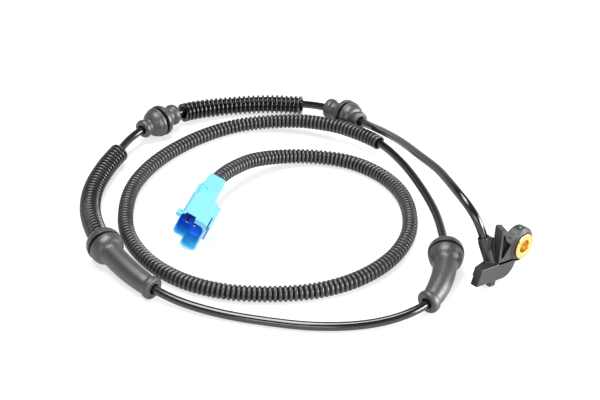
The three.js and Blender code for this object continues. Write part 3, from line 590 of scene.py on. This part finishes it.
def within(nodes, links, value, low, high):
    """1 between two values and 0 outside them."""
    over = math_node(nodes, links, "GREATER_THAN", value, low)
    under = math_node(nodes, links, "LESS_THAN", value, high)
    return math_node(nodes, links, "MULTIPLY", over, under)


def rounded_box(nodes, links, x, z, across, up, corner):
    """1 within a rectangle with rounded corners in X and Z, and 0 outside it."""
    past = []
    for value, (low, high) in ((x, across), (z, up)):
        off = math_node(nodes, links, "ABSOLUTE", math_node(nodes, links, "SUBTRACT", value, (low + high) / 2), 0)
        out = math_node(nodes, links, "SUBTRACT", off, (high - low) / 2 - corner)
        past.append(math_node(nodes, links, "POWER", math_node(nodes, links, "MAXIMUM", out, 0), 2))
    return math_node(nodes, links, "LESS_THAN", math_node(nodes, links, "ADD", *past), corner ** 2)


def paint_mouth_shade_and_glow(made, near, between, far, edge):
    """Painted shade and painted glow on the connector: inside its mouth the colour goes from near, by its edge, to
    far, up in its corner, darkening as shade would; the inside glows a little and the front more; and the shallow
    step on the top gets a painted line in the edge colour, standing for how light falls on it.
    """
    nodes, links, shader = tree_of(made)
    x, y, z = own_measures(nodes, links, PLUG_PLACE, to_plug)
    main = rounded_box(nodes, links, x, z, (-8.6, 7.9), (0.4, 17.5), 2.4)
    key = rounded_box(nodes, links, x, z, (-1.0, 7.9), (-5.4, 4), 1.4)
    inside = math_node(nodes, links, "MAXIMUM", main, key)
    inside = math_node(nodes, links, "MULTIPLY", inside, within(nodes, links, y, 0.3, 15.4))
    # Painted shade: darker the deeper into the mouth and the higher up in it.
    deep = math_node(nodes, links, "MULTIPLY", y, 0.55 / 15)
    high = math_node(nodes, links, "MULTIPLY", z, 0.9 / 18)
    share = math_node(nodes, links, "ADD", deep, high)
    # Everything in front of the mouth plane gets a painted glow below.
    front = math_node(nodes, links, "LESS_THAN", y, 0.3)
    # The shallow step across the top gets a painted line, standing for its shading.
    line = math_node(
        nodes, links, "MULTIPLY", within(nodes, links, y, 32.3, 34.9), within(nodes, links, x, -9.7, -2.2),
    )
    line = math_node(nodes, links, "MULTIPLY", line, math_node(nodes, links, "GREATER_THAN", z, 16.4))
    ramp = nodes.new("ShaderNodeValToRGB")
    ramp.color_ramp.elements[0].position = 0.0
    ramp.color_ramp.elements[0].color = (*near, 1)
    ramp.color_ramp.elements[1].position = 0.95
    ramp.color_ramp.elements[1].color = (*far, 1)
    middle = ramp.color_ramp.elements.new(0.45)
    middle.color = (*between, 1)
    links.new(share, ramp.inputs[0])
    paint_over(made, line, edge)
    links.new(paint_over(made, inside, ramp.outputs[0]), shader.inputs["Emission Color"])
    # Painted glow: a weak emission inside the mouth and a stronger one on the front, in the painted colours.
    glow = math_node(nodes, links, "MULTIPLY", inside, 0.16)
    glow = math_node(nodes, links, "ADD", glow, math_node(nodes, links, "MULTIPLY", front, 0.55))
    links.new(glow, shader.inputs["Emission Strength"])


def paint_foot_shadow_line(made):
    """Painted shade: a black line along the top front edge of the head's foot, where the step between the foot and
    the wall lies in shadow; the specular level is 0 on it and 0.8 elsewhere.
    """
    nodes, links, shader = tree_of(made)
    x, y, z = own_measures(nodes, links, HEAD_PLACE, Matrix.Rotation(-HEAD_ROLL, 3, "Y"))
    line = math_node(
        nodes, links, "MULTIPLY", within(nodes, links, x, 18.3, 37), within(nodes, links, z, 10.5, 11.7),
    )
    line = math_node(nodes, links, "MULTIPLY", line, math_node(nodes, links, "LESS_THAN", y, 3))
    paint_over(made, line, BLACK)
    gloss = math_node(nodes, links, "MULTIPLY", math_node(nodes, links, "SUBTRACT", 1.0, line), 0.8)
    links.new(gloss, shader.inputs["Specular IOR Level"])


def paint_marked_shade(made, keep):
    """Painted shade: down in the grooves and inside the bores the colour falls to a share of itself, and the
    specular level falls with it.
    """
    nodes, links, shader = tree_of(made)
    mark = nodes.new("ShaderNodeAttribute")
    mark.attribute_name = "low"
    left = nodes.new("ShaderNodeMapRange")
    left.inputs["To Min"].default_value = 1.0
    left.inputs["To Max"].default_value = keep
    links.new(mark.outputs["Fac"], left.inputs["Value"])
    under = shader.inputs["Base Color"].links[0].from_socket
    shade = nodes.new("ShaderNodeMix")
    shade.data_type = "RGBA"
    shade.inputs[6].default_value = (*BLACK, 1)
    links.new(left.outputs["Result"], shade.inputs[0])
    links.new(under, shade.inputs[7])
    links.new(shade.outputs[2], shader.inputs["Base Color"])
    links.new(left.outputs["Result"], shader.inputs["Specular IOR Level"])


jacket_look = material(
    "jacket", (0.008, 0.008, 0.008), 0.16, grain=0.04, grain_scale=500, rough_spread=0.05, spec=0.9,
)
rubber_look = material("rubber", (0.036, 0.035, 0.033), 0.42, grain=0.3, grain_scale=1600, spec=0.8)
wide_look = material("conduit_wide", (0.010, 0.011, 0.012), 0.24, grain=0.06, spec=0.9)
narrow_look = material("conduit_narrow", (0.040, 0.040, 0.042), 0.34, grain=0.12, spec=0.7)
head_look = material("head_plastic", (0.016, 0.016, 0.018), 0.4, grain=0.15, grain_scale=1400, spec=0.9)
brass_look = material("brass", (0.95, 0.66, 0.24), 0.24, metal=1.0, grain=0.04)
blue_look = material("connector_blue", (0.155, 0.46, 0.68), 0.4, grain=0.05, tint=0.05)
tin_look = material("tinned", (0.75, 0.76, 0.78), 0.28, metal=1.0)
dark_look = material("chip", (0.012, 0.012, 0.012), 0.5)
white_look = material("core_white", (0.75, 0.73, 0.68), 0.45)
carrier_look = material("carrier", (0.15, 0.16, 0.17), 0.5)
seal_look = material("seal", (0.6, 0.2, 0.05), 0.5)
spot(head_look, (15.9, -3.8, 31.15), 0.8, (0.06, 0.45, 0.30))
# A painted shadow line along the top front edge of the head's foot.
paint_foot_shadow_line(head_look)
# Painted shade deeper in the connector's mouth, painted glow inside it and on its front, and a painted line on the
# top step.
paint_mouth_shade_and_glow(blue_look, (0.07, 0.64, 1.0), (0.012, 0.16, 0.95), (0.004, 0.012, 0.16), (0.10, 0.55, 0.9))
# Painted shade in the grooves and bores of the conduits and rubber pieces.
paint_marked_shade(narrow_look, 0.1)
paint_marked_shade(wide_look, 0.12)
paint_marked_shade(rubber_look, 0.1)

# Which body each piece rides on, what it stands for and its finish


def dress(piece, look):
    piece.data.materials.clear()
    piece.data.materials.append(look)


for piece, look, slot, node in (
    (cable, jacket_look, "cable_jacket", "cable"),
    (grommet_a, rubber_look, "grommet_rubber", "grommet_a"),
    (grommet_b, rubber_look, "grommet_rubber", "grommet_b"),
    (boot_1, rubber_look, "grommet_rubber", "boot_1"),
    (boot_2, rubber_look, "grommet_rubber", "boot_2"),
    (conduit_1, wide_look, "conduit_wide", "conduit_1"),
    (conduit_2, wide_look, "conduit_wide", "conduit_2"),
    (conduit_3, narrow_look, "conduit_narrow", "conduit_3"),
    (head, head_look, "head_plastic", "head_body"),
    (bush, brass_look, "brass", "bush"),
    (plug, blue_look, "connector_blue", "connector_body"),
    (shell, blue_look, "connector_blue", "connector_backshell"),
):
    dress(piece, look)
    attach(piece, "root")
    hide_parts(node)

NODE_LOOKS = {
    "chip_carrier": (carrier_look, "carrier_plastic"), "hall_chip": (dark_look, "chip"),
    "contact_a": (tin_look, "tinned_metal"), "contact_b": (tin_look, "tinned_metal"),
    "head_core_a": (dark_look, "core_black"), "head_core_b": (white_look, "core_white"),
    "pin_a": (tin_look, "tinned_metal"), "pin_b": (tin_look, "tinned_metal"),
    "wire_seal_a": (seal_look, "silicone"), "wire_seal_b": (seal_look, "silicone"),
    "plug_core_a": (dark_look, "core_black"), "plug_core_b": (white_look, "core_white"),
}
for name, (look, slot) in NODE_LOOKS.items():
    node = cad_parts[name]
    node.data.materials.clear()
    node.data.materials.append(look)

# Floor, lights and background


def camera_sees(nodes, links):
    """Two outputs, 0 for the light that surfaces get: 1 for rays seen or passed on, and 1 for mirrored ones."""
    path = nodes.new("ShaderNodeLightPath")
    seen = math_node(nodes, links, "MAXIMUM", path.outputs["Is Camera Ray"], path.outputs["Is Transmission Ray"])
    return seen, path.outputs["Is Glossy Ray"]


REACH = 6.0
floor_mesh = bpy.data.meshes.new("floor")
floor_mesh.from_pydata(
    [(-REACH, -REACH, 0), (REACH, -REACH, 0), (REACH, REACH, 0), (-REACH, REACH, 0)], [], [(0, 1, 2, 3)],
)
floor = bpy.data.objects.new("floor", floor_mesh)
bpy.context.collection.objects.link(floor)
floor_look = bpy.data.materials.new("floor")
floor_look.use_nodes = True
nodes = floor_look.node_tree.nodes
links = floor_look.node_tree.links
nodes.clear()
out = nodes.new("ShaderNodeOutputMaterial")
matte = nodes.new("ShaderNodeBsdfDiffuse")
matte.inputs["Color"].default_value = (0.4, 0.4, 0.4, 1)
glow = nodes.new("ShaderNodeEmission")
glow.inputs["Color"].default_value = (1, 1, 1, 1)
seen, mirrored = camera_sees(nodes, links)
shows = math_node(nodes, links, "MAXIMUM", seen, math_node(nodes, links, "MULTIPLY", mirrored, 0.8))
links.new(math_node(nodes, links, "MULTIPLY", shows, 0.7), glow.inputs["Strength"])
both = nodes.new("ShaderNodeAddShader")
links.new(matte.outputs[0], both.inputs[0])
links.new(glow.outputs[0], both.inputs[1])
links.new(both.outputs[0], out.inputs["Surface"])
floor.data.materials.append(floor_look)

world = bpy.data.worlds.new("world")
bpy.context.scene.world = world
world.use_nodes = True
nodes = world.node_tree.nodes
links = world.node_tree.links
nodes.clear()
out = nodes.new("ShaderNodeOutputWorld")
sky, mirror, backdrop = (nodes.new("ShaderNodeBackground") for _ in range(3))
for white in (sky, mirror, backdrop):
    white.inputs["Color"].default_value = (1, 1, 1, 1)
sky.inputs["Strength"].default_value = 0.2
backdrop.inputs["Strength"].default_value = 1.0
height = nodes.new("ShaderNodeTexCoord")
split = nodes.new("ShaderNodeSeparateXYZ")
links.new(height.outputs["Generated"], split.inputs[0])
level = nodes.new("ShaderNodeMapRange")
level.inputs["From Min"].default_value = 0.0
level.inputs["From Max"].default_value = 0.7
level.inputs["To Min"].default_value = 0.9
level.inputs["To Max"].default_value = 0.05
links.new(split.outputs["Z"], level.inputs["Value"])
links.new(level.outputs["Result"], mirror.inputs["Strength"])
seen, mirrored = camera_sees(nodes, links)
glossy_mix = nodes.new("ShaderNodeMixShader")
links.new(mirrored, glossy_mix.inputs[0])
links.new(sky.outputs[0], glossy_mix.inputs[1])
links.new(mirror.outputs[0], glossy_mix.inputs[2])
mix = nodes.new("ShaderNodeMixShader")
links.new(seen, mix.inputs[0])
links.new(glossy_mix.outputs[0], mix.inputs[1])
links.new(backdrop.outputs[0], mix.inputs[2])
links.new(mix.outputs[0], out.inputs["Surface"])


def area(name, location, size, size_y, power):
    """A soft rectangular lamp that faces the object's middle."""
    data = bpy.data.lights.new(name, "AREA")
    data.energy = power
    data.shape = "RECTANGLE"
    data.size = size
    data.size_y = size_y
    lamp = bpy.data.objects.new(name, data)
    lamp.location = location
    lamp.rotation_euler = (MIDDLE - Vector(location)).to_track_quat("-Z", "Y").to_euler()
    bpy.context.collection.objects.link(lamp)


MIDDLE = Vector((-0.05, 0.14, 0.0))
area("key", (-0.1, 0.35, 1.5), 1.3, 0.75, 30.0)
area("right", (0.75, -1.0, 0.35), 1.3, 0.6, 38.0)
area("left", (-1.3, -0.7, 0.6), 0.9, 0.5, 6.0)

bpy.context.scene.view_settings.view_transform = "Standard"
